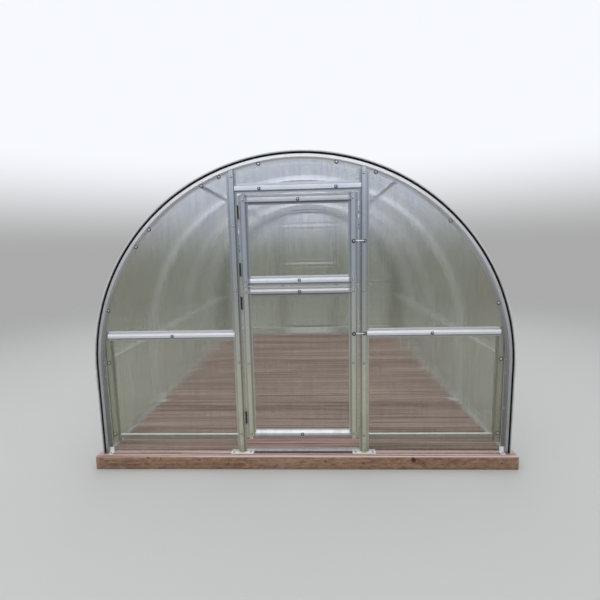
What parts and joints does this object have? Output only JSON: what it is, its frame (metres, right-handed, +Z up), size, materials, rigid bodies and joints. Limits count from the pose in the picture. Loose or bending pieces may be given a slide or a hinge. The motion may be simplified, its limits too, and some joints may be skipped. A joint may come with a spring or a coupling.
{
  "type": "polycarbonate greenhouse",
  "caption": "Arched walk-in greenhouse: galvanised hat-section hoops under clear multiwall sheet, a split door in each end wall, a boarded timber deck inside edge beams.",
  "frame": {"origin": "on the ground under the middle of the house", "axes": "+X to the right seen from the front door, +Y from the front end to the rear end, +Z up"},
  "size_m": [3.07, 4.15, 2.2491],
  "materials": {
    "galvanised_steel": "galvanised, dull spangle",
    "fittings": "bright zinc plated",
    "polycarbonate": "clear multiwall sheet, glossy",
    "rubber": "matt black",
    "timber": "weathered reddish brown",
    "deck_boards": "weathered, finely grooved"
  },
  "bodies": {
    "house": {"base_runners": "galvanised_steel", "deck_floor": "deck_boards", "deck_joists": "timber", "end_beams": "timber", "foot_plates": "galvanised_steel", "front_arch": "galvanised_steel", "front_arch_feet": "galvanised_steel", "front_bottom_rails": "galvanised_steel", "front_door_posts": "galvanised_steel", "front_header": "galvanised_steel", "front_hinges": "fittings", "front_latch_studs": "fittings", "front_mid_rails": "galvanised_steel", "front_seal": "rubber", "front_side_panels": "polycarbonate", "front_side_studs": "galvanised_steel", "front_sill": "galvanised_steel", "front_top_panel": "polycarbonate", "front_upper_latch": "fittings", "front_upper_leaf_frame": "galvanised_steel", "front_upper_leaf_pane": "polycarbonate", "hoop_1": "galvanised_steel", "hoop_2": "galvanised_steel", "hoop_3": "galvanised_steel", "hoop_feet": "galvanised_steel", "rear_arch": "galvanised_steel", "rear_arch_feet": "galvanised_steel", "rear_bottom_rails": "galvanised_steel", "rear_door_posts": "galvanised_steel", "rear_header": "galvanised_steel", "rear_hinges": "fittings", "rear_latch_studs": "fittings", "rear_mid_rails": "galvanised_steel", "rear_seal": "rubber", "rear_side_panels": "polycarbonate", "rear_side_studs": "galvanised_steel", "rear_sill": "galvanised_steel", "rear_top_panel": "polycarbonate", "rear_upper_latch": "fittings", "rear_upper_leaf_frame": "galvanised_steel", "rear_upper_leaf_pane": "polycarbonate", "roof_sheet_front": "polycarbonate", "roof_sheet_rear": "polycarbonate", "shoulder_ties": "galvanised_steel", "side_beams": "timber", "side_ties": "galvanised_steel"},
    "front_lower_leaf": {"front_lower_leaf_frame": "galvanised_steel", "front_lower_leaf_pane": "polycarbonate", "front_lower_hinge_plates": "fittings", "front_lower_latch": "fittings"},
    "rear_lower_leaf": {"rear_lower_leaf_frame": "galvanised_steel", "rear_lower_leaf_pane": "polycarbonate", "rear_lower_hinge_plates": "fittings", "rear_lower_latch": "fittings"}
  },
  "joints": [
    {"name": "front_door_hinge", "type": "hinge", "parent": "house", "child": "front_lower_leaf", "pos_m": [-0.4135, -2.009, 0.77], "axis": [0, 0, 1], "range_deg": [-110, 0]},
    {"name": "rear_door_hinge", "type": "hinge", "parent": "house", "child": "rear_lower_leaf", "pos_m": [0.4135, 2.009, 0.77], "axis": [0, 0, 1], "range_deg": [-110, 0]}
  ]
}
